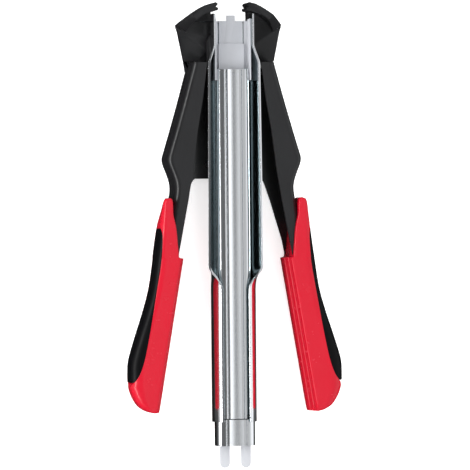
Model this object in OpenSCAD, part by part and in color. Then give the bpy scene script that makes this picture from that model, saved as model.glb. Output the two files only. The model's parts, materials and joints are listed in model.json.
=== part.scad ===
// Hand tool that closes wire rings fed from a magazine, lying on its back.
// X runs across the handles, Y from the release tabs to the jaws, Z up through
// the magazine. The tool is built for the +X side and mirrored to the other.

/* [Pivots] */
// Half the distance between the two jaw pivots
pivot_x = 7; // [6.8:0.1:7.2]
// Place of the jaw pivots along the tool
jaw_pivot_y = 105.6; // [105:0.1:106]
// Place of the lever pivots along the tool
lever_pivot_y = 66.7; // [66:0.1:67.5]
// Degrees that each lever closes
lever_swing = 9.5; // [8:0.5:9.5]
// Degrees a jaw turns for each degree of its lever
jaw_ratio = 2.1; // [2:0.05:2.1]
// Radius of the four axles
axle_r = 3.5; // [3:0.1:4]
// Running gap between an axle and its bore
bore_gap = 0.05; // [0.02:0.01:0.1]

/* [Levers] */
// Thickness of the lever sheet
sheet_t = 2; // [1.6:0.1:2.2]
// Height of the front face of a lever channel
lever_front_z = 28.5; // [28:0.1:28.9]
// Height of the rear face of a lever channel
lever_back_z = 2.5; // [2.5:0.1:2.8]
// Thickness of a grip from back to front
grip_depth = 31; // [30.5:0.1:32]

/* [Jaws] */
// Outer radius of a jaw cap about its pivot
cap_outer_r = 24.3; // [24:0.1:24.6]
// Inner radius of a jaw cap about its pivot
cap_inner_r = 19.5; // [19.2:0.1:20]
// Height of the front face of a jaw cap
cap_front_z = 25.6; // [24:0.1:26]
// Thickness of a jaw plate
jaw_t = 5; // [4.5:0.1:5]

/* [Magazine] */
// Thickness of the magazine sheet
tin_t = 1.1; // [1:0.05:1.2]
// Half the width of the channel at the mouth
mouth_w = 11.4; // [11.3:0.1:11.5]
// Half the width of the tube at the tail
tube_w = 12.8; // [12.6:0.1:13]
// Half the width of the long front slot in the tube
slot_w = 7.5; // [7:0.1:8]
// Half the width of the rail that carries the rings
rail_w = 9.15; // [9:0.05:9.2]
// Radius of the feed spring to the middle of its wire
feed_r = 2.3; // [2.1:0.1:2.3]

/* [Hidden] */
$fn = 48;

// Heights of the stacked plates, from the surface that the tool lies on.
rear_plate_t = 2.2;
jaw_z0 = 6.9;
jaw_z1 = jaw_z0 + jaw_t;
tail_z1 = 9.9;
front_plate_z0 = 12.2;
floor_z = 16;
wall_top_z = 28.5;
flange_z1 = lever_back_z + sheet_t;
rail_z0 = 17.5;
rail_z1 = 26;

// Places along the tool.
wall_top_y = 123.4;
floor_top_y = 119.5;
mouth_end_y = 105.6;
flare_end_y = 96.2;
channel_end_y = -16.7;
tube_start_y = -30.6;
tube_end_y = -104;
tail_end_y = -117.4;
tab_end_y = -129.8;
rail_front_y = 92.3;
rail_tail_y = -102.4;

// Half widths of the channel walls at their feet and at their front edges.
foot_w = 11.4;
flare_w = 14.6;
channel_w = 15.65;

pin_start = [19, 93.05];
pin_r = 2.5;
slot_gap = 0.3;
slot_steps = 4;
stud_at = [11, 40];
post_at = [0, 46];
rod_z = 22.15;
rod_r = 1.2;
tab_x = 5.95;
tab_w = 5.7;
tab_t = 1.2;
tab_z = 20.4;
tab_root_y = -105.6;

function turned(p, a) = [p[0] * cos(a) - p[1] * sin(a), p[0] * sin(a) + p[1] * cos(a)];
function about(p, c, a) = turned(p - c, a) + c;
function arc(c, r, a0, a1, n = 16) =
    [for (i = [0:n]) c + r * [cos(a0 + (a1 - a0) * i / n), sin(a0 + (a1 - a0) * i / n)]];

// Where a lever's drive pin lies in its jaw's own frame, after the lever turned by a.
jaw_pivot = [pivot_x, jaw_pivot_y];
lever_pivot = [pivot_x, lever_pivot_y];
function pin_path(a) =
    about(about(pin_start, lever_pivot, -a), jaw_pivot, -jaw_ratio * a);

// One smooth step between p1 and p2 of a curve that also passes p0 and p3.
function curve_step(p0, p1, p2, p3, t) =
    0.5 * (2 * p1 + (p2 - p0) * t + (2 * p0 - 5 * p1 + 4 * p2 - p3) * t * t
    + (3 * p1 - p0 - 3 * p2 + p3) * t * t * t);
// A smooth curve through all the points, with n steps between neighbours.
function smooth(p, n = 4) = let (m = len(p) - 1) concat(
    [for (i = [0:m - 1], k = [0:n - 1])
        curve_step(p[max(i - 1, 0)], p[i], p[i + 1], p[min(i + 2, m)], k / n)],
    [p[m]]);
function back_to_front(p) = [for (i = [len(p) - 1:-1:0]) p[i]];
function moved(p, x) = [for (q = p) [q[0] + x, q[1]]];

module slab(z0, z1) {
    translate([0, 0, z0])
        linear_extrude(z1 - z0)
            children();
}

module box_between(a, b) {
    translate(a)
        cube(b - a);
}

// Extrudes an outline drawn in X and Z along Y, from y0 up to y1.
module along_y(y0, y1) {
    translate([0, y1, 0])
        rotate([90, 0, 0])
            linear_extrude(y1 - y0)
                children();
}

module both_sides() {
    children();
    mirror([1, 0, 0])
        children();
}

module left_side() {
    mirror([1, 0, 0])
        children();
}

module pin(at, r, z0, z1) {
    translate([at[0], at[1], z0])
        cylinder(r = r, h = z1 - z0);
}

// A straight-sided bar between two four-cornered ends.
module bar(a, b) {
    polyhedron(
        points = concat(a, b),
        faces = [[0, 1, 2], [0, 2, 3], [4, 6, 5], [4, 7, 6], [0, 4, 5], [0, 5, 1],
                 [1, 5, 6], [1, 6, 2], [2, 6, 7], [2, 7, 3], [3, 7, 4], [3, 4, 0]]);
}

// A round wire wound along +Z, with its ends cut square.
module coil(r, wire_r, height, turns, steps, sides = 6) {
    n = round(turns * steps);
    rings = [for (i = [0:n], k = [0:sides - 1])
        let (a = 360 * i / steps, b = 360 * k / sides, q = r + wire_r * cos(b))
        [q * cos(a), q * sin(a), height * i / n + wire_r * sin(b)]];
    skin = [for (i = [0:n - 1], k = [0:sides - 1])
        let (j = (k + 1) % sides, s = i * sides)
        [[s + k, s + j, s + sides + j], [s + k, s + sides + j, s + sides + k]]];
    first = [[for (k = [sides - 1:-1:0]) k]];
    last = [[for (k = [0:sides - 1]) n * sides + k]];
    polyhedron(points = rings, faces = concat([for (pair = skin, f = pair) f], first, last));
}

// Frame: two link plates that hold all four axles.

plate_low_y = 58;
plate_high_y = 113;
plate_w = 13.2;
plate_corner_r = 6;

module link_outline(low_y) {
    for (x = [-1, 1], y = [low_y + plate_corner_r, plate_high_y - plate_corner_r])
        translate([x * (plate_w - plate_corner_r), y])
            circle(plate_corner_r);
    translate([-plate_w, low_y + plate_corner_r])
        square([2 * plate_w, plate_high_y - low_y - 2 * plate_corner_r]);
    translate([-plate_w + plate_corner_r, low_y])
        square([2 * (plate_w - plate_corner_r), plate_high_y - low_y]);
}

module axle_holes(r) {
    for (x = [-1, 1], y = [jaw_pivot_y, lever_pivot_y])
        translate([x * pivot_x, y])
            circle(r);
}

module link_plate_rear() {
    color("#202124")
        slab(0, rear_plate_t)
            difference() {
                link_outline(plate_low_y);
                axle_holes(axle_r);
            }
}

module link_plate_front() {
    color("#202124")
        slab(front_plate_z0, floor_z)
            difference() {
                link_outline(plate_low_y - 6);
                axle_holes(axle_r);
                translate(post_at + [0, 16])
                    circle(axle_r - 1);
            }
}

module axle_pair(y) {
    for (x = [-pivot_x, pivot_x])
        pin([x, y], axle_r, 0, floor_z);
}

module jaw_axles() {
    color("#8a8d91")
        axle_pair(jaw_pivot_y);
}

module lever_axles() {
    color("#8a8d91")
        axle_pair(lever_pivot_y);
}

spacer_r = 5.5;

module jaw_spacers() {
    color("#8a8d91")
        both_sides()
            difference() {
                pin(jaw_pivot, spacer_r, rear_plate_t, jaw_z0 - 0.1);
                pin(jaw_pivot, axle_r, rear_plate_t - 1, jaw_z0 + 1);
            }
}

// Magazine channel: leaning walls, a narrow mouth and a slotted tube at the tail.

// The four corners of a wall's section: place, foot and top half widths, top height.
function wall_end(y, foot, top, z) = [
    [foot, y, floor_z], [top, y, z], [top - tin_t, y, z], [foot - tin_t, y, floor_z]];

wall_stations = [
    [wall_top_y, mouth_w, mouth_w, wall_top_z - 0.6],
    [mouth_end_y, mouth_w, mouth_w, wall_top_z],
    [flare_end_y, foot_w, flare_w, wall_top_z],
    [channel_end_y, foot_w, channel_w, wall_top_z],
    [tube_start_y, tube_w - 1.2, tube_w, wall_top_z - 3]
];
tube_front_r = 5;
tube_back_r = 2;

// A box section with its two front corners rounder than its two back ones.
module tube_outline(w, z0, z1, front_r, back_r) {
    for (x = [-1, 1]) {
        translate([x * (w - front_r), z1 - front_r])
            circle(front_r);
        translate([x * (w - back_r), z0 + back_r])
            circle(back_r);
    }
    translate([-w, z0 + back_r])
        square([2 * w, z1 - z0 - back_r - front_r]);
    translate([-w + back_r, z0])
        square([2 * (w - back_r), back_r + 1]);
    translate([-w + front_r, z1 - front_r - 1])
        square([2 * (w - front_r), front_r + 1]);
}

module magazine_channel() {
    color("#d9dcdf") {
        both_sides()
            for (i = [0:len(wall_stations) - 2]) {
                a = wall_stations[i];
                b = wall_stations[i + 1];
                bar(wall_end(a[0], a[1], a[2], a[3]), wall_end(b[0], b[1], b[2], b[3]));
            }
        box_between([-mouth_w + 0.2, mouth_end_y, floor_z],
            [mouth_w - 0.2, floor_top_y, floor_z + tin_t]);
        box_between([-foot_w + 0.2, tube_start_y - 1, floor_z],
            [foot_w - 0.2, mouth_end_y + 1, floor_z + tin_t]);
        along_y(tube_end_y, tube_start_y)
            difference() {
                tube_outline(tube_w, floor_z, wall_top_z, tube_front_r, tube_back_r);
                tube_outline(tube_w - tin_t, floor_z + tin_t, wall_top_z - tin_t,
                    tube_front_r - tin_t, tube_back_r - tin_t);
                translate([-slot_w, wall_top_z - 3])
                    square([2 * slot_w, 6]);
            }
    }
}

// Studs that hold the channel and the front link plate together.
module channel_rivets() {
    color("#8a8d91")
        pin(post_at + [0, 16], axle_r - 1, front_plate_z0, floor_z);
}

guide_w = 10.2;
guide_t = 0.8;
guide_low_y = 86.2;

// Each guide is an angle: its foot lies on the channel floor beside the pusher.
guide_foot_x = 7.3;

module mouth_guide() {
    color("#b9bdc1")
        both_sides() {
            box_between([guide_w - guide_t, guide_low_y, floor_z + tin_t],
                [guide_w, floor_top_y + 1, wall_top_z - 3.5]);
            box_between([guide_foot_x, rail_front_y + 0.7, floor_z + tin_t],
                [guide_w - 0.1, floor_top_y, floor_z + tin_t + guide_t]);
        }
}

// Return spring, wound on a post under the channel, with a leg to each lever.

post_r = 3;
coil_r = 4.4;
coil_wire_r = 0.8;
coil_z0 = 7.2;
coil_h = 5.6;
leg_z = [coil_z0, coil_z0 + coil_h];
stud_r = 1.8;

module spring_post() {
    color("#8a8d91") {
        pin(post_at, post_r, 5.2, floor_z);
        pin(post_at, post_r + 3, floor_z - 1.2, floor_z);
    }
}

module return_spring() {
    color("#6f7276") {
        translate([post_at[0], post_at[1], coil_z0])
            coil(coil_r, coil_wire_r, coil_h, 4, 16);
        for (side = [-1, 1]) {
            from = post_at + [side * coil_r, 0];
            to = [side * (stud_at[0] - stud_r - coil_wire_r - 0.3), stud_at[1] - 1];
            run = to - from;
            translate([from[0], from[1], side > 0 ? leg_z[0] : leg_z[1]])
                rotate([0, 90, atan2(run[1], run[0])])
                    cylinder(r = coil_wire_r, h = norm(run), $fn = 16);
        }
    }
}

// Jaws. The cap is an arc about the pivot, its outer end cut back towards the front.

cap_tip_a = 84.5;
cap_base_a = 24.2;
cap_front_a = 47;
groove_r = 1.1;
hub_r = 6.4;
jaw_points = [[10.2, 125], [10.3, 118], [8.6, 111.9], [11, 104], [13.6, 97], [13.1, 84],
    [15.2, 81.4], [19.8, 81], [23, 82.6], [23.9, 87.4], [25.4, 96.7], [28.8, 113.6],
    [29.9, 117]];
jaw_face_points = [[10.2, 125], [10.3, 118], [8.6, 111.9], [9.5, 105.5], [12.5, 103],
    [18.8, 97.2], [25.5, 97.2], [28.8, 113.6], [29.9, 117]];

// The cap's outer edge, from its outer end to its tip: nearly straight, then rounded.
cap_edge = [[30.1, 117.4], [27.2, 119.75], [24, 122.1], [20.2, 124.8], [16.3, 127.2],
    [12.9, 128.9], jaw_pivot + turned([cap_outer_r, 0], cap_tip_a)];

module cap_outline() {
    polygon(concat(cap_edge, arc(jaw_pivot, cap_inner_r, cap_tip_a, cap_base_a, 20)));
}

module jaw_web(points) {
    polygon(concat(points, arc(jaw_pivot, cap_outer_r - 1.7, cap_base_a, cap_tip_a - 4, 12)));
}

// The slot's edge, offset to either side of the pin's path, with round ends.
function slot_edge(side) = [for (i = [0:slot_steps])
    let (a = lever_swing * i / slot_steps, d = pin_path(a + 0.1) - pin_path(a))
    pin_path(a) + side * (pin_r + slot_gap) * [-d[1], d[0]] / norm(d)];
function heading(a) = let (d = pin_path(a + 0.1) - pin_path(a)) atan2(d[1], d[0]);

module pin_slot() {
    r = pin_r + slot_gap;
    start_a = heading(0);
    end_a = heading(lever_swing);
    slab(0, 20)
        polygon(concat(
            slot_edge(-1),
            arc(pin_path(lever_swing), r, end_a - 90, end_a + 90, 12),
            back_to_front(slot_edge(1)),
            arc(pin_start, r, start_a + 90, start_a + 270, 12)));
}

// The cap's outer end slopes back from the plate to the cap's front face.
module cap() {
    from = cap_edge[0];
    run = jaw_pivot + turned([cap_outer_r, 0], cap_front_a) - from;
    rise = cap_front_z - jaw_z1;
    difference() {
        slab(jaw_z1 - 0.5, cap_front_z)
            cap_outline();
        translate([from[0], from[1], jaw_z1])
            rotate([0, -atan2(rise, norm(run)), atan2(run[1], run[0])])
                translate([0, -20, 0])
                    cube([60, 40, 40]);
    }
}

module jaw() {
    difference() {
        union() {
            slab(jaw_z0, tail_z1)
                jaw_web(jaw_points);
            slab(jaw_z0, jaw_z1)
                jaw_web(jaw_face_points);
            pin(jaw_pivot, hub_r, jaw_z0, jaw_z1);
            slab(jaw_z0, jaw_z1)
                cap_outline();
            cap();
        }
        pin(jaw_pivot, axle_r + bore_gap, jaw_z0 - 1, jaw_z1 + 1);
        pin_slot();
        // A groove along the tip keeps the wire ring in line.
        pin(jaw_pivot + turned([21.3, 0], cap_tip_a) - [groove_r * 0.6, 0], groove_r,
            jaw_z0 - 1, cap_front_z + 1);
    }
}

module jaw_left() {
    color("#1b1c1e")
        left_side()
            jaw();
}

module jaw_right() {
    color("#1b1c1e")
        jaw();
}

// Levers: folded channels, open towards the magazine, each with a wing at the back.

lever_outer = [[22.8, 96.2], [28.5, 75.1], [33.3, 58.4], [36.6, 47.3], [37.8, 42.8],
    [37.2, 39.2], [35.4, 34.6], [33.8, 29.5], [33.5, 25], [34.3, 19.5], [36.2, 8],
    [39.4, -12], [43, -35], [47, -60], [49.5, -88]];
lever_inner_front = [[15.2, 96.2], [17.9, 75.1], [20.8, 58.4], [23.6, 36.1], [26.4, 19.5],
    [30.6, -2.8], [33.2, -16], [44.5, -88]];
lever_inner_back = [[14.6, 96.2], [12.4, 82], [13.4, 70], [8.5, 58], [8.5, 31.7],
    [18.6, 31.7], [20.6, 29.5], [24, 19.5], [30.6, -2.8], [33.2, -16], [44.5, -88]];
lobe_r = 6.4;
web_notch = [[18, 79, 6.4], [40, 97, 12.4]];

module between(outer, inner) {
    polygon(concat(outer, back_to_front(inner)));
}

module lever() {
    edge = smooth(lever_outer, 3);
    difference() {
        union() {
            slab(lever_front_z - sheet_t, lever_front_z)
                between(edge, lever_inner_front);
            slab(lever_back_z, lever_front_z)
                between(edge, moved(edge, -1.1 * sheet_t));
            slab(lever_back_z, flange_z1)
                between(edge, lever_inner_back);
            pin(lever_pivot, lobe_r, lever_back_z, flange_z1);
        }
        pin(lever_pivot, axle_r + bore_gap, 0, 10);
        pin(pin_start, pin_r, 0, 8);
        pin(stud_at, stud_r - 0.6, 0, 6);
        box_between(web_notch[0], web_notch[1]);
    }
}

module lever_left() {
    color("#17181a")
        left_side()
            lever();
}

module lever_right() {
    color("#17181a")
        lever();
}

bush_r = 5;

module lever_bush() {
    color("#8a8d91")
        difference() {
            pin(lever_pivot, bush_r, flange_z1, front_plate_z0 - 0.1);
            pin(lever_pivot, axle_r + bore_gap, 0, front_plate_z0 + 1);
        }
}

module lever_bush_left() {
    left_side()
        lever_bush();
}

module lever_bush_right() {
    lever_bush();
}

clip_z = tail_z1 + 0.4;
clip_t = 1.2;

module drive_pin() {
    color("#8a8d91")
        pin(pin_start, pin_r, lever_back_z, clip_z + clip_t + 0.4);
}

module drive_pin_left() {
    left_side()
        drive_pin();
}

module drive_pin_right() {
    drive_pin();
}

module pin_clip() {
    color("#6f7276")
        difference() {
            pin(pin_start, pin_r + 0.9, clip_z, clip_z + clip_t);
            pin(pin_start, pin_r, clip_z - 1, clip_z + clip_t + 1);
        }
}

module pin_clip_left() {
    left_side()
        pin_clip();
}

module pin_clip_right() {
    pin_clip();
}

module spring_stud() {
    color("#8a8d91") {
        pin(stud_at, stud_r, flange_z1, 15);
        pin(stud_at, stud_r - 0.6, lever_back_z, flange_z1);
    }
}

module spring_stud_left() {
    left_side()
        spring_stud();
}

module spring_stud_right() {
    spring_stud();
}

// Grips: a hard shell with a tongue up the lever, and a soft pad on the outer side.

grip_outer = [[39.6, 19.4], [40.6, 13], [41.8, 2], [44.8, -12.2], [47.4, -28.9],
    [51, -42.3], [55.4, -55.6], [59.2, -68.9], [60, -76.5], [59.3, -83.5], [57, -89.6],
    [53.3, -95], [48.6, -98.2]];
grip_tongue = [[37.5, 20.8], [35.6, 19.4], [35.2, 11.1], [33.7, 4.4], [32.8, -5.6],
    [32.2, -12.5]];
grip_inner_top = [28.2, -12.5];
grip_inner_end = [42.6, -98.6];
pad_edge = [[41.2, 6], [43.1, -4], [43.9, -15.4], [45.5, -28.9], [47.3, -42.3],
    [49.6, -55.6], [52.8, -68.9], [55.2, -76], [61, -83]];
// How far the inner side steps back at each height, as [from, to, step].
grip_steps = [[0, 4.5, 2.6], [4.5, 9.5, 1.3], [9.5, 21.5, 0], [21.5, 26.5, 1.3],
    [26.5, grip_depth, 2.6]];

module grip_outline(step) {
    polygon(concat(smooth(grip_outer, 3),
        [grip_inner_end + [step + 2, 0], grip_inner_end + [step, 1.6],
         grip_inner_top + [step, 0]], back_to_front(grip_tongue)));
}

module pad_region() {
    polygon(concat(smooth(pad_edge, 3), [[70, -90], [70, 6]]));
}

// The lever channel with its hollow side filled, which the grip fits round.
module lever_core() {
    slab(lever_back_z, lever_front_z)
        between(smooth(lever_outer, 3), lever_inner_front);
}

module grip_body() {
    difference() {
        for (s = grip_steps)
            slab(s[0], s[1])
                grip_outline(s[2]);
        lever_core();
    }
}

module grip() {
    color("#d8141c")
        difference() {
            grip_body();
            slab(-1, grip_depth + 1)
                pad_region();
        }
}

module grip_pad() {
    color("#1a1a1b")
        intersection() {
            grip_body();
            slab(-1, grip_depth + 1)
                pad_region();
        }
}

module grip_left() {
    left_side()
        grip();
}

module grip_right() {
    grip();
}

module grip_pad_left() {
    left_side()
        grip_pad();
}

module grip_pad_right() {
    grip_pad();
}

// Magazine drawer: rail, tail sleeve, guide rod, spring and pusher.

rail_corner_r = 4.6;

module rail_section(w, z0, z1, r) {
    intersection() {
        union() {
            for (x = [-1, 1])
                translate([x * (w - r), z1 - r])
                    circle(r);
            translate([-w + r, z0])
                square([2 * (w - r), z1 - z0]);
            translate([-w, z0])
                square([2 * w, z1 - r - z0]);
        }
        translate([-w, z0])
            square([2 * w, z1 - z0]);
    }
}

module magazine_rail() {
    color("#e6e8ea")
        along_y(rail_tail_y, rail_front_y)
            difference() {
                rail_section(rail_w, rail_z0, rail_z1, rail_corner_r);
                rail_section(rail_w - 1, rail_z0 - 1, rail_z1 - 1, rail_corner_r - 1);
            }
}

tail_w = 11.1;
tail_z0 = 17.4;
tail_top_z = 27.1;
end_wall_t = 2;
sleeve_front_y = -102.9;
sleeve_step_z = 22.5;

module tail_sleeve() {
    color("#c9ccd0")
        difference() {
            union() {
                along_y(tail_end_y, tube_end_y + 12)
                    difference() {
                        tube_outline(tail_w, tail_z0, tail_top_z, 4, 1.5);
                        rail_section(rail_w, tail_z0 - 1, rail_z1, rail_corner_r);
                    }
                for (y = [rail_tail_y - end_wall_t, tail_end_y])
                    along_y(y, y + end_wall_t)
                        rail_section(rail_w, tail_z0, rail_z1, rail_corner_r);
            }
            box_between([-tail_w - 1, sleeve_front_y, sleeve_step_z],
                [tail_w + 1, tube_end_y + 13, tail_top_z + 1]);
            for (x = [-tab_x, tab_x])
                box_between([x - tab_w / 2 - 0.3, tail_end_y - 1, tab_z - 1.4],
                    [x + tab_w / 2 + 0.3, tail_end_y + end_wall_t + 1, tab_z + tab_t + 0.3]);
            translate([0, rail_tail_y + 1, rod_z])
                rotate([90, 0, 0])
                    cylinder(r = rod_r, h = 20);
        }
}

module guide_rod() {
    color("#8a8d91")
        translate([0, 85, rod_z])
            rotate([90, 0, 0])
                cylinder(r = rod_r, h = 85 - tail_end_y);
}

module rod_nut() {
    color("#8a8d91")
        translate([0, rail_tail_y - 2, rod_z])
            rotate([90, 0, 0])
                difference() {
                    cylinder(r = 2.6, h = 2, $fn = 6);
                    translate([0, 0, -1])
                        cylinder(r = rod_r, h = 4);
                }
}

follower_y = 86;

module feed_spring() {
    color("#6f7276")
        translate([0, rail_tail_y + 0.5, rod_z])
            rotate([-90, 0, 0])
                coil(feed_r, 0.4, follower_y - rail_tail_y - 1, 42, 8, 5);
}

plate_z0 = 17.4;
plate_z1 = 18.4;
block_z1 = 19.3;

module pusher_plate() {
    color("#a7abb0") {
        box_between([-6.7, follower_y, plate_z0], [6.7, floor_top_y, plate_z1]);
        box_between([-2.4, floor_top_y - 1, plate_z0], [2.4, 122.6, plate_z1]);
    }
}

module pusher_block() {
    color("#9a9ea3")
        box_between([-7.2, follower_y, plate_z1], [7.2, 106.8, block_z1]);
}

module spring_follower() {
    color("#2a2b2d")
        difference() {
            box_between([-3.4, follower_y, block_z1], [3.4, rail_front_y - 0.4, 24.6]);
            translate([0, rail_front_y + 1, rod_z])
                rotate([90, 0, 0])
                    cylinder(r = rod_r + bore_gap, h = 20);
        }
}

module release_tab() {
    color("#c9ccd0") {
        box_between([tab_x - tab_w / 2, tab_end_y + tab_w / 2, tab_z],
            [tab_x + tab_w / 2, tab_root_y, tab_z + tab_t]);
        pin([tab_x, tab_end_y + tab_w / 2], tab_w / 2, tab_z, tab_z + tab_t);
    }
}

module release_tab_left() {
    left_side()
        release_tab();
}

module release_tab_right() {
    release_tab();
}

link_plate_rear();
link_plate_front();
jaw_axles();
lever_axles();
jaw_spacers();
magazine_channel();
channel_rivets();
mouth_guide();
spring_post();
return_spring();
jaw_left();
jaw_right();
lever_left();
lever_right();
lever_bush_left();
lever_bush_right();
drive_pin_left();
drive_pin_right();
pin_clip_left();
pin_clip_right();
spring_stud_left();
spring_stud_right();
grip_left();
grip_right();
grip_pad_left();
grip_pad_right();
magazine_rail();
tail_sleeve();
guide_rod();
rod_nut();
feed_spring();
pusher_plate();
pusher_block();
spring_follower();
release_tab_left();
release_tab_right();
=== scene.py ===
# %% [markdown]
# # A ring-fastening staple gun, dressed for the camera
# The tool is squeezed like pliers: two black steel levers close two black jaws round
# an open wire ring, and a chromed magazine between them feeds the next ring. The CAD
# model holds every size, place and joint. This lesson keeps that frame and gives each
# piece the bends, bevels and finishes of the real one.

# %% Load the frame
import json
import math

import bpy
import numpy as np
from mathutils import Matrix, Vector


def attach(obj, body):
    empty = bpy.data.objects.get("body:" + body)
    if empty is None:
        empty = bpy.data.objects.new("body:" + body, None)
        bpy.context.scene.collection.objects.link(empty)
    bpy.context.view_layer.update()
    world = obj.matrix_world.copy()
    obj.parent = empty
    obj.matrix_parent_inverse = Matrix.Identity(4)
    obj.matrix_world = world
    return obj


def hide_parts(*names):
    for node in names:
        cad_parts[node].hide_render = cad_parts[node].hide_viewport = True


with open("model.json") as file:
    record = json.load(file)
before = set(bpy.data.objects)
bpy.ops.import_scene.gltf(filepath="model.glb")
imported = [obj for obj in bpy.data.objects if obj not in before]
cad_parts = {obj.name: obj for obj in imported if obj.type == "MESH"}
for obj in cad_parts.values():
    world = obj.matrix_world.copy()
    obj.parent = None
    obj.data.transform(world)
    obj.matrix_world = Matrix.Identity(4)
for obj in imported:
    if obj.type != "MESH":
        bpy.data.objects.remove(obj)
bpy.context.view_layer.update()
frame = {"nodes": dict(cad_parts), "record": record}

MM = 0.001
FINE_ANGLE = math.radians(38)  # faces that meet flatter than this are shaded as one surface

# %% [markdown]
# ## Tools for the bench
# An operator works on all that is selected, so everything is put down before a piece
# is picked up. Outlines are given by a few points, and a smooth curve runs through
# them, as a draughtsman bends a spline round pins.

# %% Small helpers
def put_down():
    if bpy.context.object and bpy.context.object.mode != "OBJECT":
        bpy.ops.object.mode_set(mode="OBJECT")
    bpy.ops.object.select_all(action="DESELECT")


def pick_up(piece):
    put_down()
    bpy.context.view_layer.objects.active = piece
    piece.select_set(True)


def in_edit(piece, *steps):
    """Runs steps in edit mode on the whole of the piece's mesh."""
    pick_up(piece)
    bpy.ops.object.mode_set(mode="EDIT")
    bpy.ops.mesh.select_all(action="SELECT")
    for step in steps:
        step()
    bpy.ops.object.mode_set(mode="OBJECT")


def outward():
    bpy.ops.mesh.select_all(action="SELECT")
    bpy.ops.mesh.normals_make_consistent(inside=False)


def apply(piece, kind, **settings):
    """Adds one modifier to the piece and applies it."""
    pick_up(piece)
    modifier = piece.modifiers.new(kind.lower(), kind)
    for key, value in settings.items():
        setattr(modifier, key, value)
    bpy.ops.object.modifier_apply(modifier=modifier.name)


def soften(piece, width, segments=2, angle=32):
    """Rounds every sharp edge by width in millimetres, and shades the piece smooth."""
    apply(piece, "BEVEL", width=width * MM, segments=segments, limit_method="ANGLE",
          angle_limit=math.radians(angle), miter_outer="MITER_ARC", use_clamp_overlap=True)
    pick_up(piece)
    bpy.ops.object.shade_smooth_by_angle(angle=FINE_ANGLE)


def smooth(points, steps=8):
    """A curve through all the points, with steps between neighbours."""
    p = [np.array(q, float) for q in points]
    p = [p[0]] + p + [p[-1]]
    curve = []
    for a, b, c, d in zip(p, p[1:], p[2:], p[3:]):
        for t in np.arange(steps) / steps:
            curve.append(0.5 * (2 * b + (c - a) * t + (2 * a - 5 * b + 4 * c - d) * t * t
                                + (3 * b - a - 3 * c + d) * t ** 3))
    return np.array(curve + [p[-2]])


def across(points, steps=8):
    """How far out a curve lies at any place along the tool: X as a function of Y."""
    curve = smooth(points, steps) if steps else np.array(points, float)
    order = np.argsort(curve[:, 1])
    return lambda y: float(np.interp(y, curve[order, 1], curve[order, 0]))


def corner(centre, radius, start, end, steps):
    """Points of a round corner, from one angle to another in degrees."""
    turns = np.radians(np.linspace(start, end, steps + 1))
    return [(centre[0] + radius * math.cos(t), centre[1] + radius * math.sin(t)) for t in turns]


# %% [markdown]
# ## Three ways to make a piece
# A flat part starts as a filled circle whose corners are pulled onto the part's
# outline and is then extruded. A bent sheet starts as a grid: its columns follow the
# tool's length and its rows follow the section. Small turned and stamped parts keep
# the CAD shape: a copy is cleaned and its edges are broken, as a file would do it.

# %% Plates, bent sheets and finished copies
def plate(name, outline, z0, z1):
    put_down()
    bpy.ops.mesh.primitive_circle_add(vertices=len(outline), radius=MM, fill_type="NGON")
    piece = bpy.context.object
    piece.name = piece.data.name = name
    for vertex, (x, y) in zip(piece.data.vertices, outline):
        vertex.co = Vector((x, y, z0)) * MM
    rise = (0, 0, (z1 - z0) * MM)
    in_edit(piece, lambda: bpy.ops.mesh.extrude_region_move(
        TRANSFORM_OT_translate={"value": rise}), outward)
    return piece


def bent_sheet(name, places, section, closed=False):
    """A grid whose row i, at places[i], takes the points of section(place)."""
    rows = [section(place) for place in places]
    width = len(rows[0])
    put_down()
    bpy.ops.mesh.primitive_grid_add(x_subdivisions=width - 1,
                                    y_subdivisions=len(rows) - 1, size=1)
    piece = bpy.context.object
    piece.name = piece.data.name = name
    for vertex in piece.data.vertices:
        column = round((vertex.co.x + 0.5) * (width - 1))
        row = round((vertex.co.y + 0.5) * (len(rows) - 1))
        vertex.co = Vector(rows[row][column]) * MM
    if closed:
        in_edit(piece, lambda: bpy.ops.mesh.remove_doubles(threshold=1e-7),
                lambda: bpy.ops.mesh.fill_holes(sides=0), outward)
    return piece


def thicken(piece, thickness, inward=True):
    apply(piece, "SOLIDIFY", thickness=thickness * MM, offset=-1 if inward else 1,
          use_even_offset=True, use_quality_normals=True)
    in_edit(piece, outward)


def mirrored(piece, name):
    """The same piece for the left side, with its faces turned out again."""
    put_down()
    twin = piece.copy()
    twin.data = piece.data.copy()
    twin.name = twin.data.name = name
    bpy.context.collection.objects.link(twin)
    twin.data.transform(Matrix.Scale(-1, 4, (1, 0, 0)))
    twin.data.flip_normals()
    return twin


def finished_copy(node, width=0.25, segments=2):
    put_down()
    piece = frame["nodes"][node].copy()
    piece.data = piece.data.copy()
    piece.parent = None
    piece.name = piece.data.name = node + "_finished"
    bpy.context.collection.objects.link(piece)
    piece.matrix_world = Matrix()
    pick_up(piece)
    bpy.ops.mesh.customdata_custom_splitnormals_clear()
    in_edit(piece, lambda: bpy.ops.mesh.remove_doubles(threshold=1e-6),
            lambda: bpy.ops.mesh.dissolve_limited(angle_limit=math.radians(1.5)))
    soften(piece, width, segments)
    return piece


def cut_away(piece, tool):
    """Takes the tool's shape out of the piece, and throws the tool away."""
    apply(piece, "BOOLEAN", operation="DIFFERENCE", object=tool, solver="EXACT")
    bpy.data.objects.remove(tool)


def drill(piece, at, radius, z0, z1):
    put_down()
    bpy.ops.mesh.primitive_cylinder_add(
        vertices=48, radius=radius * MM, depth=(z1 - z0) * MM,
        location=(at[0] * MM, at[1] * MM, (z0 + z1) / 2 * MM))
    cut_away(piece, bpy.context.object)


def face_front(sheet):
    """Turns an open sheet's faces to the front, judged by the face in its middle."""
    in_edit(sheet, outward)
    if sheet.data.polygons[len(sheet.data.polygons) // 2].normal.z < 0:
        sheet.data.flip_normals()


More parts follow.
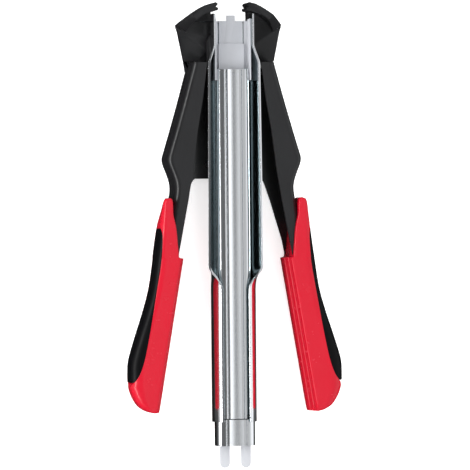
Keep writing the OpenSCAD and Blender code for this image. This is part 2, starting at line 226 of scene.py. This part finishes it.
def box_cutter(at, size):
    """A plain box to cut with: its centre and its lengths along X, Y and Z."""
    put_down()
    bpy.ops.mesh.primitive_cube_add(size=1, location=[c * MM for c in at],
                                    scale=[s * MM for s in size])
    return bpy.context.object


def joined(*pieces):
    pick_up(pieces[0])
    for piece in pieces[1:]:
        piece.select_set(True)
    bpy.ops.object.join()
    return pieces[0]


# %% [markdown]
# ## Finishes
# Every finish is built from noise on Object coordinates, so that it stays put on its
# piece in every view. One noise varies the gloss, a finer one raises a tiny grain,
# and a third shifts the colour a little. Stretching the noise along the tool turns
# even grain into the drawn lines of rolled and plated sheet.

# %% One recipe for all finishes
def finish(name, colour, other_colour, metal, gloss, grain, bump, stretch=(1, 1, 1), coat=0.0,
           patch=60, shine=0.5, inside_shade=None):
    """gloss is (lowest, highest roughness), grain is noise cells a metre, bump is in mm."""
    material = bpy.data.materials.new(name)
    material.use_nodes = True
    tree = material.node_tree
    shader = tree.nodes["Principled BSDF"]
    shader.inputs["Metallic"].default_value = metal
    shader.inputs["Coat Weight"].default_value = coat
    shader.inputs["Coat Roughness"].default_value = 0.12
    shader.inputs["Specular IOR Level"].default_value = shine

    place = tree.nodes.new("ShaderNodeTexCoord")
    mapping = tree.nodes.new("ShaderNodeMapping")
    mapping.inputs["Scale"].default_value = stretch
    tree.links.new(place.outputs["Object"], mapping.inputs["Vector"])

    def noise(scale, detail):
        node = tree.nodes.new("ShaderNodeTexNoise")
        node.inputs["Scale"].default_value = scale
        node.inputs["Detail"].default_value = detail
        tree.links.new(mapping.outputs["Vector"], node.inputs["Vector"])
        return node.outputs["Fac"]

    soft_patches = noise(patch, 3)
    mix = tree.nodes.new("ShaderNodeMix")
    mix.data_type = "RGBA"
    mix.inputs["A"].default_value = (*colour, 1)
    mix.inputs["B"].default_value = (*other_colour, 1)
    tree.links.new(soft_patches, mix.inputs["Factor"])
    colour_out = mix.outputs["Result"]
    if inside_shade:
        # Surfaces marked with the attribute "inside" are painted darker: painted shade inside the
        # channel.
        mark = tree.nodes.new("ShaderNodeAttribute")
        mark.attribute_name = "inside"
        shade_mix = tree.nodes.new("ShaderNodeMix")
        shade_mix.data_type = "RGBA"
        shade_mix.inputs["B"].default_value = (*inside_shade, 1)
        tree.links.new(mark.outputs["Fac"], shade_mix.inputs["Factor"])
        tree.links.new(colour_out, shade_mix.inputs["A"])
        colour_out = shade_mix.outputs["Result"]
    tree.links.new(colour_out, shader.inputs["Base Color"])

    spread = tree.nodes.new("ShaderNodeMapRange")
    spread.inputs["From Min"].default_value = 0.3
    spread.inputs["From Max"].default_value = 0.7
    spread.inputs["To Min"].default_value = gloss[0]
    spread.inputs["To Max"].default_value = gloss[1]
    tree.links.new(noise(patch * 3, 4), spread.inputs["Value"])
    tree.links.new(spread.outputs["Result"], shader.inputs["Roughness"])

    relief = tree.nodes.new("ShaderNodeBump")
    relief.inputs["Strength"].default_value = 0.6
    relief.inputs["Distance"].default_value = bump * MM
    tree.links.new(noise(grain, 2), relief.inputs["Height"])
    tree.links.new(relief.outputs["Normal"], shader.inputs["Normal"])
    return material


along_tool = (1, 0.02, 1)
FINISHES = {
    "black_steel": finish("black_coated_steel", (0.006, 0.006, 0.0065), (0.009, 0.009, 0.010),
                          0.0, (0.28, 0.36), 1800, 0.006, shine=0.42),
    "bright_chrome": finish("bright_chrome", (0.90, 0.91, 0.93), (0.84, 0.86, 0.88),
                            1.0, (0.11, 0.15), 900, 0.0002, stretch=along_tool),
    # The channel's inner surfaces are painted a darker blue-grey: painted shade.
    "channel_chrome": finish("channel_chrome", (0.88, 0.89, 0.91), (0.82, 0.84, 0.86),
                             1.0, (0.12, 0.16), 900, 0.0002, stretch=along_tool,
                             inside_shade=(0.44, 0.51, 0.53)),
    "satin_steel": finish("satin_steel", (0.62, 0.63, 0.66), (0.56, 0.57, 0.60),
                          0.55, (0.55, 0.65), 2600, 0.004),
    "plated_steel": finish("plated_steel", (0.55, 0.55, 0.54), (0.46, 0.46, 0.46),
                           1.0, (0.24, 0.36), 2000, 0.004),
    "spring_steel": finish("spring_steel", (0.30, 0.30, 0.31), (0.20, 0.20, 0.21),
                           1.0, (0.25, 0.40), 1500, 0.004),
    "red_plastic": finish("red_grip_shell", (0.40, 0.002, 0.014), (0.37, 0.002, 0.012),
                          0.0, (0.22, 0.28), 2400, 0.0008, shine=0.32),
    "black_rubber": finish("soft_black_pad", (0.0015, 0.0015, 0.0018), (0.0025, 0.0025, 0.003),
                           0.0, (0.34, 0.42), 2200, 0.012, shine=0.10),
    "black_plastic": finish("black_follower", (0.02, 0.02, 0.02), (0.03, 0.03, 0.03),
                            0.0, (0.4, 0.5), 1500, 0.01),
}
print("finishes:", ", ".join(FINISHES))

# %% Handing a piece over to the frame
slot_of = {part["node"]: part["material_slot"] for part in frame["record"]["subparts"]}
body_of = {node: body for body, nodes in frame["record"]["behaviour"]["bodies"].items()
           for node in nodes}


def hand_over(piece, node, look=None):
    """The piece stands for its node: it rides on the node's body, takes the finish of the node's
    slot or the look given, and the node is hidden.
    """
    piece.data.materials.clear()
    piece.data.materials.append(FINISHES[look or slot_of[node]])
    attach(piece, body_of[node])
    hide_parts(node)
    print(f"{piece.name}: {len(piece.data.polygons)} faces, rides on {body_of[node]}")


def both_hands(piece, stem):
    """Hands over the right piece, and its mirror image for the left."""
    twin = mirrored(piece, f"{stem}_left_piece")
    hand_over(piece, f"{stem}_right")
    hand_over(twin, f"{stem}_left")


# %% [markdown]
# ## Levers
# Each lever is one blank of sheet folded into a channel that opens towards the
# magazine. The front flange is narrow; the rear one widens into a wing that holds the
# pivot. A bent sheet makes the fold as a true 3 mm radius, which catches a long
# highlight, and the solidify modifier gives the sheet its thickness.

# %% The lever channels
LEVER_FRONT, LEVER_BACK = 28.5, 2.5
LEVER_PIVOT, JAW_PIVOT = (7, 66.7), (7, 105.6)
PIVOT_LOBE = 6.4  # radius of the wing's round lobe about the pivot
PIVOT_BORE = 3.55
FOLD, LEVER_SHEET = 3.0, 2
lever_edge = across([(22.8, 96.2), (28.5, 75.1), (33.3, 58.4), (36.6, 47.3), (37.8, 42.8),
                     (37.2, 39.2), (35.4, 34.6), (33.8, 29.5), (33.5, 25), (34.3, 19.5),
                     (36.2, 8), (39.4, -12), (43, -35), (47, -60), (49.5, -88)])
lever_front = across([(15.2, 96.2), (17.9, 75.1), (20.8, 58.4), (23.6, 36.1), (26.4, 19.5),
                      (30.6, -2.8), (33.2, -16), (44.5, -88)], 0)
wing_edge = across([(14.6, 96.2), (12.4, 82), (13.4, 70), (8.5, 58), (8.5, 32.6), (9.6, 31.7),
                    (18.6, 31.69), (19.6, 31.0), (20.6, 29.5), (24, 19.5), (30.6, -2.8),
                    (33.2, -16), (44.5, -88)], 0)


def wing(y):
    lobe = PIVOT_LOBE ** 2 - (y - LEVER_PIVOT[1]) ** 2
    return min(wing_edge(y), LEVER_PIVOT[0] - math.sqrt(lobe)) if lobe > 0 else wing_edge(y)


def lever_section(y):
    edge, front, back = lever_edge(y), lever_front(y), wing(y)
    line = [(front + (edge - FOLD - front) * t, LEVER_FRONT) for t in (0, 0.1, 0.5, 0.9)]
    line += corner((edge - FOLD, LEVER_FRONT - FOLD), FOLD, 90, 0, 8)
    line += [(edge, z) for z in (19, 12.4, 6.4)]
    line += corner((edge - FOLD, LEVER_BACK + FOLD), FOLD, 0, -90, 8)
    line += [(edge - FOLD + (back - edge + FOLD) * t, LEVER_BACK) for t in (0.2, 0.5, 0.8, 1)]
    return [(x, y, z) for x, z in line]


lever_places = sorted(set(np.round(np.concatenate([
    np.arange(-88, 24, 3.0), np.arange(24, 50, 1.0), np.arange(50, 96, 1.5),
    [31.69, 31.7, 31.0, 32.1, 32.6, 60.4, 60.8, 72.6, 73.0, 96.2]]), 3)))
lever = bent_sheet("lever_right_piece", lever_places, lever_section)
in_edit(lever, outward)
thicken(lever, LEVER_SHEET)
cut_away(lever, box_cutter((31, 89, 9.4), (24, 20, 6)))
drill(lever, LEVER_PIVOT, PIVOT_BORE, 0, 8)
soften(lever, 0.35, 2, 50)
both_hands(lever, "lever")

# %% [markdown]
# ## Jaws
# A jaw is a thick plate with a curved cap standing along its edge. The cap's tip is
# notched so that the wire ring sits in the notch between two rounded lips. The CAD
# shape is right, so a copy is cleaned and bevelled; two small lips are added to it.

# %% The two jaws
CAP_TIP = 84.5  # degrees from X to the cap's tip, about the jaw's pivot
LIP_OUTER, LIP_INNER, LIP_RADIUS = 23.1, 20.5, 0.95
jaw = finished_copy("jaw_right", 0.3, 2)
jaw.name = jaw.data.name = "jaw_right_piece"


def tip_lip(radius_on_cap):
    """A rounded lip along the cap's tip, at that distance from the jaw's pivot."""
    turn = math.radians(CAP_TIP)
    x = JAW_PIVOT[0] + radius_on_cap * math.cos(turn)
    y = JAW_PIVOT[1] + radius_on_cap * math.sin(turn)
    outline = corner((x + 0.1, y), LIP_RADIUS, 0, 345, 23)
    lip = plate("lip", outline, 7.4, 25.3)
    soften(lip, 0.3, 2, 50)
    return lip


jaw = joined(jaw, tip_lip(LIP_OUTER), tip_lip(LIP_INNER))
both_hands(jaw, "jaw")

# %% [markdown]
# ## Grips
# The hard red shell is moulded: a flat front, a round outer side, and an inner side
# that steps back twice. A soft black pad is let into the outer side. Shell and pad
# are two closed sheets, made section by section, that share one outer surface and
# part along a fine seam.

# %% Outlines of the grip
GRIP_DEPTH = 31.0
MIDDLE = GRIP_DEPTH / 2
STEP_HEIGHTS = (GRIP_DEPTH, 26.5, 21.5)
grip_out = across([(37.6, 20.8), (39.5, 20.3), (40.3, 19.0), (40.8, 17), (41.4, 12.5),
                   (42.5, 5), (44.2, -7.7), (44.9, -12.2), (47.4, -28.9), (51, -42.3),
                   (55.4, -55.6), (59.4, -68.9), (60, -76.5), (59.7, -83.5), (57.8, -89.6),
                   (54.2, -95), (49, -98.2), (45.5, -98.6)])
tongue_in = across([(37.1, 20.8), (36.0, 20.2), (35.6, 18.6), (35.4, 16), (35.2, 11.1), (33.7, 4.4),
                    (32.8, -5.6), (32.2, -12.5)])
shoulder_in = across([(28.2, -12.5), (42.6, -98.6)], 0)
seam = across([(43.4, 7), (42.6, 5), (41.9, 2.5), (41.5, -1), (42.0, -10.8), (42.9, -18.5),
               (44.7, -28.9), (47.0, -42.3), (49.4, -55.6), (52.2, -68.9), (55.0, -77),
               (57.4, -80.6), (60.8, -84)])
PAD_TOP, PAD_END = 5.2, -82.6
SHOULDER = -12.5     # where the inner side steps in from the narrow tongue
NOSE_FROM, NOSE_TIP = 4, 20.8
SEAM_GAP = 0.12      # the shell stands back from the pad by this much
WIDEST = 24.5        # height at which the round side reaches furthest out
ROUNDNESS = 2 / 2.5  # 1 would make the side an ellipse; less makes it squarer


def ease(t):
    t = min(max(t, 0.0), 1.0)
    return t * t * (3 - 2 * t)


def grip_inner(y):
    """X of the inner side, and how much of its stepped shape shows there."""
    if y > SHOULDER + 0.35:
        return tongue_in(y), 0.0
    drop = min(1.0, (SHOULDER + 0.35 - y) / 0.7)
    return tongue_in(SHOULDER) + (shoulder_in(y) - tongue_in(SHOULDER)) * drop, drop


def round_side(y):
    """Centre and reach of the round outer side at y."""
    inner, _ = grip_inner(y)
    reach = 0.42 * (grip_out(y) - inner)
    return grip_out(y) - reach, reach


def on_round_side(y, t):
    """The side is widest well to the front, and the nose leans back to it."""
    centre, reach = round_side(y)
    lift = math.copysign(abs(math.sin(t)) ** ROUNDNESS, math.sin(t))
    height = (GRIP_DEPTH - WIDEST) if t > 0 else WIDEST
    z = WIDEST + lift * height
    lean = 1.2 * ease((y + 8) / 24) * max(0.0, (26 - z) / 26) ** 0.8
    x = centre + reach * max(math.cos(t), 0) ** ROUNDNESS - lean
    return max(x, grip_inner(y)[0] + 0.4), ends_rounded(y, z)


def ends_rounded(y, z):
    """The butt is rounded off from front to back, and the nose's back slopes up to its tip."""
    low = max(0.0, (-94.6 - y) / 4.0)
    z = MIDDLE + (z - MIDDLE) * math.sqrt(max(0.0, 1 - 0.28 * low ** 2))
    nose = ease((y - NOSE_FROM) / (NOSE_TIP - NOSE_FROM))
    tip = 0.8 * max(0.0, (y - 18.3) / 2.5) ** 2
    return GRIP_DEPTH - tip - (GRIP_DEPTH - z) * (1 - 0.5 * nose)


def seam_angle(y):
    """Where the seam crosses the round side: pi / 2 at the front, 0 at the middle."""
    centre, reach = round_side(y)
    share = (seam(y) - centre) / reach
    if not PAD_END < y < PAD_TOP or share >= 1:
        return 0.0
    return math.acos(min(1.0, max(share, 0.02)) ** (1 / ROUNDNESS))


def inner_side(y):
    """The stepped inner side, from front to back."""
    inner, steps = grip_inner(y)
    r = 0.9
    tread = 1.3 * steps
    half = []
    for level, (z0, z1) in enumerate(zip(STEP_HEIGHTS, STEP_HEIGHTS[1:])):
        x = inner + tread * (2 - level)
        half += corner((x + r, z0 - r), r, 90, 180, 4) + [(x, z1 + 0.3), (x - 0.1 * steps, z1)]
    half += corner((inner + r, STEP_HEIGHTS[-1] - r), r, 90, 180, 4) + [(inner, MIDDLE + 1)]
    ring = half + [(x, GRIP_DEPTH - z) for x, z in reversed(half)]
    return [(x, ends_rounded(y, z)) for x, z in ring]


def shell_section(y):
    limit = seam_angle(y)
    gap = SEAM_GAP if limit else 0.0
    front = [on_round_side(y, t) for t in np.linspace(math.pi / 2, limit, 18)]
    back = [on_round_side(y, t) for t in np.linspace(-limit, -math.pi / 2, 18)]
    front[-1] = (front[-1][0] - gap, front[-1][1])
    back[0] = (back[0][0] - gap, back[0][1])
    wall = [(front[-1][0] + (back[0][0] - front[-1][0]) * t,
             front[-1][1] + (back[0][1] - front[-1][1]) * t) for t in (0.1, 0.3, 0.5, 0.7, 0.9)]
    inner = inner_side(y)
    (fx, fz), (bx, bz) = inner[0], inner[-1]
    face = [(fx + (front[0][0] - fx) * t, fz) for t in (0.15, 0.4, 0.65, 0.85)]
    rear = [(back[-1][0] + (bx - back[-1][0]) * t, bz) for t in (0.15, 0.35, 0.6, 0.85)]
    loop = inner[::-1] + face + front + wall + back + rear
    return [(x, y, z) for x, z in loop + loop[:1]]


def pad_section(y):
    limit = seam_angle(y)
    arc = [on_round_side(y, t) for t in np.linspace(limit, -limit, 25)]
    (x0, z0), (x1, z1) = arc[0], arc[-1]
    back = [(x1 + (x0 - x1) * k, z1 + (z0 - z1) * k) for k in (0.1, 0.35, 0.65, 0.9)]
    loop = arc + back
    return [(px, y, pz) for px, pz in loop + loop[:1]]


# %% Mould the shells and pads
shell_places = np.unique(np.round(np.concatenate([
    np.linspace(-98.6, -94, 10), np.arange(-94, -12, 2.0), [-13.2, -12.85, -12.5, -12.15, -11.6],
    np.arange(-10, 18, 2.0), np.linspace(18, 20.8, 8)]), 3))
shell = bent_sheet("grip_right_piece", shell_places, shell_section, closed=True)
soften(shell, 0.3, 2, 55)
both_hands(shell, "grip")

pad_places = [y for y in np.linspace(PAD_END, PAD_TOP, 70) if seam_angle(y) > 0.03]
pad = bent_sheet("grip_pad_right_piece", pad_places, pad_section, closed=True)
soften(pad, 0.3, 2, 50)
both_hands(pad, "grip_pad")

# %% [markdown]
# ## The magazine channel
# One blank of chromed sheet is a deep open channel along the levers, draws in to a
# narrow mouth at the jaws, and rolls over into a slotted tube at the tail. One grid
# makes all of it: its section changes smoothly along the tool.

# %% The channel sheet
FLOOR, WALL_TOP, TIN = 16.0, 28.5, 1.1
NARROWS, TUBE_STARTS = -16.7, -30.6  # the open channel turns into the tube between these
TUBE_W, SLOT_W, SHOULDER_W, SHOULDER_H = 12.5, 7.5, 6.5, 9.5
wall_foot = across([(11.4, 123.4), (11.4, -16.7), (11.6, -30.6), (11.6, -104)], 0)
wall_top = across([(11.4, 123.4), (11.4, 105.9), (11.55, 105.0), (14.4, 96.9), (14.62, 95.6),
                   (15.65, -16.7), (15.65, -18)], 0)


def channel_half(y):
    """Half of the section, from the middle of the floor out to the sheet's front edge."""
    roll = ease((NARROWS - y) / (NARROWS - TUBE_STARTS))
    foot, top = wall_foot(y), wall_top(y)
    bend = 1.2
    floor = [(foot * t, FLOOR) for t in (0, 0.3, 0.6)]
    turn = corner((foot - bend, FLOOR + bend), bend, -90, -5, 5)
    rise = [(foot + (top - foot) * t, FLOOR + bend + (WALL_TOP - FLOOR - bend) * t)
            for t in np.linspace(0.15, 1, 18)]
    tube = [(TUBE_W, FLOOR + 1.2 + k * 0.6) for k in range(1, 4)]
    lip = math.acos((SLOT_W - TUBE_W + SHOULDER_W) / SHOULDER_W)
    tube += [(TUBE_W - SHOULDER_W + SHOULDER_W * math.cos(t),
              WALL_TOP - SHOULDER_H + SHOULDER_H * math.sin(t)) for t in np.linspace(0, lip, 15)]
    side = [(a[0] + (b[0] - a[0]) * roll, a[1] + (b[1] - a[1]) * roll)
            for a, b in zip(rise, tube)]
    return floor + turn + side


def channel_section(y):
    half = channel_half(y)
    front_y = max(0.0, y - 119.5)
    points = []
    for x, z in half:
        on_floor = z < FLOOR + 1.3
        slack = 0.3 * max(0.0, (z - 24) / 4.5) if y > 118 else 0
        points.append((x, y - front_y if on_floor else y - slack, z))
    return [(-x, py, z) for x, py, z in reversed(points[1:])] + points


channel_places = np.unique(np.round(np.concatenate([
    np.arange(-104, -31, 8.0), np.linspace(TUBE_STARTS, NARROWS, 18), np.arange(-12, 96, 8.0),
    np.linspace(95, 106.5, 12), [110, 114, 118, 119.5, 121.5, 123.4]]), 3))
channel = bent_sheet("magazine_channel_piece", channel_places, channel_section)
in_edit(channel, outward)
thicken(channel, TIN)
soften(channel, 0.18, 2, 60)


def is_inside(point):
    """1 on the sheet's inner side: further in than half the sheet from its outer side."""
    x, y, z = (c / MM for c in point)
    half = np.array(channel_half(y))
    gaps = [np.hypot(*(half[i] + t * (half[i + 1] - half[i]) - (abs(x), z)))
            for i in range(len(half) - 1) for t in (0, 0.25, 0.5, 0.75)]
    return ease((min(gaps) - 0.35) / 0.4) * ease((WALL_TOP - 0.3 - z) / 0.5)


# The mark "inside" tells the channel's finish where to paint shade.
inside = channel.data.attributes.new("inside", "FLOAT", "POINT")
for vertex in channel.data.vertices:
    inside.data[vertex.index].value = is_inside(vertex.co)
hand_over(channel, "magazine_channel", "channel_chrome")

# %% [markdown]
# ## Rail and tail
# The rail carries the rings. Its front is a raised strip between two round shoulders,
# so bright chrome shows it as upright bands of light and dark. The tail sleeve is
# drawn with the same form, closes the drawer, and holds two release tabs.

# %% The rail and the sleeve behind it
RAIL_W, RAIL_FRONT, RAIL_BACK, RAIL_SHEET = 9.3, 26.0, 17.5, 0.9


def ridged(width, front, foot, shoulder, strip=4.2, step=0.45):
    """Half of a ridged section, from the middle of the front down to the foot."""
    line = [(strip * t, front - 0.12 * t * t) for t in (0, 0.25, 0.5, 0.75, 1)]
    low = front - 0.12 - 0.3 * step
    line += [(strip + 0.05, low - step), (strip + 0.36, low - step), (strip + 0.42, low)]
    start = strip + 0.45
    line += [(start + (width - start) * math.sin(t), low - shoulder * (1 - math.cos(t)))
             for t in np.linspace(0.05, math.pi / 2, 14)] + [(width, foot)]
    return line


def both_halves(half, y):
    return [(-x, y, z) for x, z in reversed(half[1:])] + [(x, y, z) for x, z in half]


rail = bent_sheet("magazine_rail_piece", np.linspace(-102.4, 92.3, 26),
                  lambda y: both_halves(ridged(RAIL_W, RAIL_FRONT, RAIL_BACK, 2.9), y))
face_front(rail)
thicken(rail, RAIL_SHEET)
soften(rail, 0.12, 2, 40)
hand_over(rail, "magazine_rail")

TAIL_W, TAIL_BACK, TAIL_FRONT, TAIL_SHEET = 11.1, 17.4, 27.1, 1.0
sleeve = bent_sheet("tail_sleeve_piece", np.linspace(-117.4, -102.8, 6),
                    lambda y: both_halves(ridged(TAIL_W, TAIL_FRONT, TAIL_BACK, 4.6, 5.2, 0.3), y))
face_front(sleeve)
thicken(sleeve, TAIL_SHEET)
end_wall = plate("end_wall", [(-9.6, 0), (9.6, 0), (9.6, 5.4), (6.2, 8.0), (-6.2, 8.0), (-9.6, 5.4)],
                 0, 1.6)
end_wall.data.transform(Matrix.Translation((0, -115.6 * MM, TAIL_BACK * MM))
                        @ Matrix.Rotation(math.radians(90), 4, "X"))
for side in (-1, 1):
    cut_away(end_wall, box_cutter((side * 5.95, -116.4, 20.4), (6.3, 6, 2.8)))
sleeve = joined(sleeve, end_wall)
soften(sleeve, 0.15, 2, 45)
hand_over(sleeve, "tail_sleeve", "bright_chrome")

# %% [markdown]
# ## Springs
# A spring is a ring of wire swept round an axis while it climbs. The screw modifier
# does this in one step from a small circle.

# %% Return spring and feed spring
def wound(name, wire, radius, height, turns, steps, low):
    """A coil along +Z that starts at the height low, open towards its ends."""
    put_down()
    bpy.ops.mesh.primitive_circle_add(vertices=10, radius=wire * MM)
    piece = bpy.context.object
    piece.name = piece.data.name = name
    piece.data.transform(Matrix.Translation((radius * MM, 0, low * MM))
                         @ Matrix.Rotation(math.radians(90), 4, "X"))
    apply(piece, "SCREW", axis="Z", angle=math.tau * turns, screw_offset=height * MM,
          steps=int(steps * turns), render_steps=int(steps * turns), use_normal_calculate=True)
    in_edit(piece, lambda: bpy.ops.mesh.fill_holes(sides=0), outward)
    pick_up(piece)
    bpy.ops.object.shade_smooth_by_angle(angle=FINE_ANGLE)
    return piece


feed = wound("feed_spring_piece", 0.4, 2.3, 187, 46, 20, 0)
feed.data.transform(Matrix.Translation((0, -101.7 * MM, 22.15 * MM))
                    @ Matrix.Rotation(math.radians(-90), 4, "X"))
hand_over(feed, "feed_spring")

POST_Y = 46
WIRE, COIL, COIL_LOW, COIL_RISE = 0.8, 4.4, 7.2, 5.6
spring = wound("return_spring_piece", WIRE, COIL, COIL_RISE, 4, 32, COIL_LOW)
spring.data.transform(Matrix.Translation((0, POST_Y * MM, 0)))
for side, z in ((1, COIL_LOW), (-1, COIL_LOW + COIL_RISE)):
    start = Vector((side * COIL, POST_Y, z)) * MM
    end = Vector((side * 8.1, 39.0, z)) * MM
    put_down()
    bpy.ops.mesh.primitive_cylinder_add(vertices=16, radius=WIRE * MM, depth=(end - start).length)
    leg = bpy.context.object
    turn = (end - start).to_track_quat("Z", "Y").to_matrix().to_4x4()
    leg.data.transform(Matrix.Translation((start + end) / 2) @ turn)
    soften(leg, 0.2, 2, 50)
    spring = joined(spring, leg)
hand_over(spring, "return_spring")

# %% [markdown]
# ## Everything else
# Link plates, axles, bushes, pins, clips, the pusher and the tabs are turned or
# stamped parts whose CAD shape is already right. Each gets broken edges.

# %% Finish the small parts
edge_width = {"link_plate_rear": 0.5, "link_plate_front": 0.4, "pusher_plate": 0.12,
              "pusher_block": 0.12, "release_tab_left": 0.3, "release_tab_right": 0.3,
              "mouth_guide": 0.15}
done = {"lever_left", "lever_right", "jaw_left", "jaw_right", "grip_left", "grip_right",
        "grip_pad_left", "grip_pad_right", "magazine_channel", "magazine_rail", "tail_sleeve",
        "feed_spring", "return_spring"}
for node in slot_of:
    if node not in done:
        hand_over(finished_copy(node, edge_width.get(node, 0.2)), node)

# %% [markdown]
# ## Floor, light and camera
# The tool lies on a pale floor. The sky is a soft studio with broad bright panels and
# darker gaps between them, which chrome needs to show its form. The camera hangs high
# above, leaning a little to the left, with a long lens.

# %% Floor
put_down()
bpy.ops.mesh.primitive_plane_add(size=8, location=(0, 0, 0))
floor = bpy.context.object
floor.name = "studio_floor"
floor.data.materials.append(finish("pale_floor", (0.95, 0.95, 0.95), (0.94, 0.94, 0.94), 0.0,
                                   (0.8, 0.9), 200, 0.01, shine=0.0))
# A light table: its own faint glow takes the edge off the shadows.
paper = floor.data.materials[0].node_tree.nodes["Principled BSDF"]
paper.inputs["Emission Color"].default_value = (1, 1, 1, 1)
paper.inputs["Emission Strength"].default_value = 0.55
floor.visible_glossy = False

# %% Light
world = bpy.data.worlds.new("soft_studio")
bpy.context.scene.world = world
world.use_nodes = True
sky = world.node_tree
background = sky.nodes["Background"]
direction = sky.nodes.new("ShaderNodeTexCoord")
split = sky.nodes.new("ShaderNodeSeparateXYZ")
panels = sky.nodes.new("ShaderNodeMapRange")
ramp = sky.nodes.new("ShaderNodeValToRGB")
sky.links.new(direction.outputs["Generated"], split.inputs["Vector"])
sky.links.new(split.outputs["X"], panels.inputs["Value"])
panels.inputs["From Min"].default_value = -1
panels.inputs["From Max"].default_value = 1
sky.links.new(panels.outputs["Result"], ramp.inputs["Fac"])
# Under the table the studio is dark, so that upright black sides stay black.
height = sky.nodes.new("ShaderNodeMapRange")
height.inputs["From Min"].default_value = -0.15
height.inputs["From Max"].default_value = 0.10
height.inputs["To Min"].default_value = 0.10
height.inputs["To Max"].default_value = 1.0
sky.links.new(split.outputs["Z"], height.inputs["Value"])
shade = sky.nodes.new("ShaderNodeMix")
shade.data_type = "RGBA"
shade.inputs["A"].default_value = (0.0, 0.0, 0.0, 1)
sky.links.new(height.outputs["Result"], shade.inputs["Factor"])
sky.links.new(ramp.outputs["Color"], shade.inputs["B"])
sky.links.new(shade.outputs["Result"], background.inputs["Color"])
background.inputs["Strength"].default_value = 1.0
# Brightness of the studio from its left wall (0) over the ceiling (0.5) to its right.
bands = [(0.0, 0.70), (0.12, 0.66), (0.15, 0.17), (0.30, 0.13), (0.48, 0.15), (0.515, 0.5),
         (0.538, 1.6), (0.564, 1.6), (0.572, 0.04), (0.590, 0.04), (0.606, 0.72), (0.628, 0.80),
         (0.650, 0.48), (0.80, 0.56), (0.88, 0.80), (0.94, 1.1), (1.0, 1.1)]
ramp.color_ramp.elements.remove(ramp.color_ramp.elements[1])
ramp.color_ramp.elements[0].position = bands[0][0]
ramp.color_ramp.elements[0].color = (bands[0][1],) * 3 + (1,)
for position, level in bands[1:]:
    element = ramp.color_ramp.elements.new(position)
    element.color = (level * 0.97, level * 0.985, level, 1)

# One very wide soft lamp lights the floor and the plain colours, and isn't mirrored.
put_down()
bpy.ops.object.light_add(type="SUN", location=(0, 0, 2))
dome = bpy.context.object
dome.name = "soft_dome"
dome.data.energy = 3.6
dome.data.angle = math.radians(170)
dome.visible_glossy = False

# A weaker soft lamp from the left lights the sides that face it, unmirrored as well.
put_down()
bpy.ops.object.light_add(type="SUN", location=(-2, 0, 1))
side_fill = bpy.context.object
side_fill.name = "left_fill"
side_fill.data.energy = 1.1
side_fill.data.angle = math.radians(70)
side_fill.rotation_euler = (0, math.radians(-62), 0)
side_fill.visible_glossy = False

# A tall narrow lamp low on the left draws the highlight along every rounded edge.
put_down()
bpy.ops.object.light_add(type="AREA", location=(-1.35, 0.0, 0.75))
strip = bpy.context.object
strip.name = "edge_lamp"
strip.data.shape = "RECTANGLE"
strip.data.size = 0.34
strip.data.size_y = 1.6
strip.data.energy = 17
strip.rotation_euler = (0, -math.atan2(1.35, 0.75), 0)

# %% Camera
LEAN, ROLL, DISTANCE, FRAME_MM = 0.1743, 0.0090, 2.5, 261.3
look = Vector((LEAN, 0, -1)).normalized()
level_right = Vector((0, 1, 0)).cross(-look).normalized()
right = (level_right * math.cos(ROLL) - Vector((0, 1, 0)) * math.sin(ROLL)).normalized()
up = (-look).cross(right).normalized()
target = Vector((-0.42, 0, WALL_TOP)) * MM
put_down()
bpy.ops.object.camera_add()
camera = bpy.context.object
camera.matrix_world = Matrix.Translation(target - look * DISTANCE) @ Matrix(
    (right, up, -look)).transposed().to_4x4()
camera.data.sensor_width = 36
camera.data.lens = 36 * DISTANCE / (FRAME_MM * MM)
camera.data.clip_start = 0.05
camera.data.clip_end = 20
bpy.context.scene.camera = camera
bpy.context.scene.view_settings.view_transform = "Standard"
